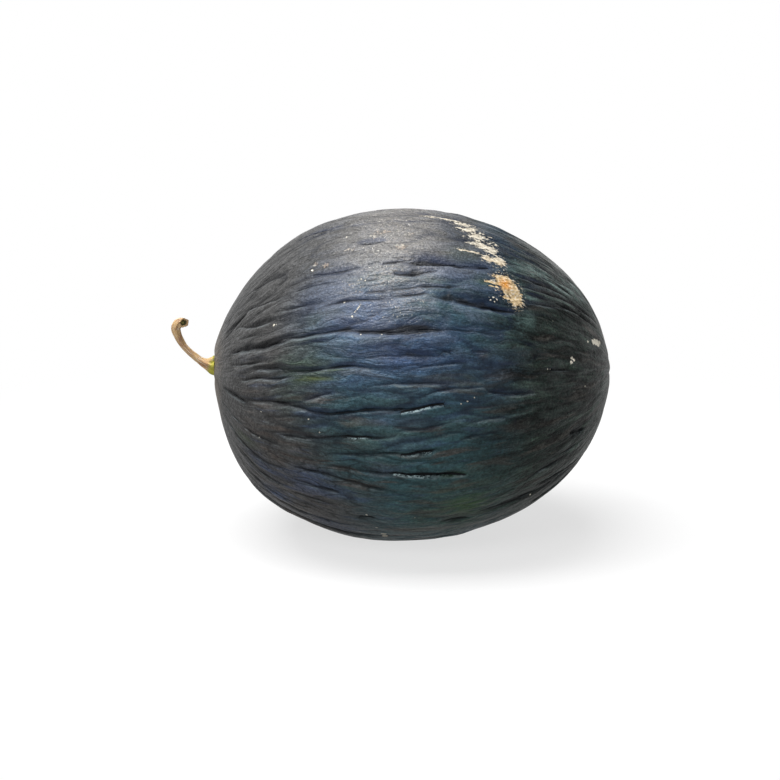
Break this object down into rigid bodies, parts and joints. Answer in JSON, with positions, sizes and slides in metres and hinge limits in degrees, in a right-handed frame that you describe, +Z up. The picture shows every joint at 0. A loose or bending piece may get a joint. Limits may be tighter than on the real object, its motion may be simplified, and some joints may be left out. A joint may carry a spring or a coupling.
{
  "type": "winter melon with stem stub",
  "caption": "Dark blue-green winter melon with a deeply wrinkled rind, lying on its side, with a dried, hooked stub of stem.",
  "frame": {"origin": "on the flat patch that the melon lies on, under the middle of its length", "axes": "+X along the melon from its stem end to its blossom end, +Z up"},
  "size_m": [0.2206, 0.1666, 0.166],
  "materials": {
    "rind": "waxy wrinkled melon rind, blue-green black, satin, with a pale corky scar",
    "dry_stem": "dry tan fibrous stem, matt, yellow-green where it joins the fruit"
  },
  "bodies": {
    "root": {"fruit": "rind", "stem": "dry_stem"}
  },
  "joints": []
}
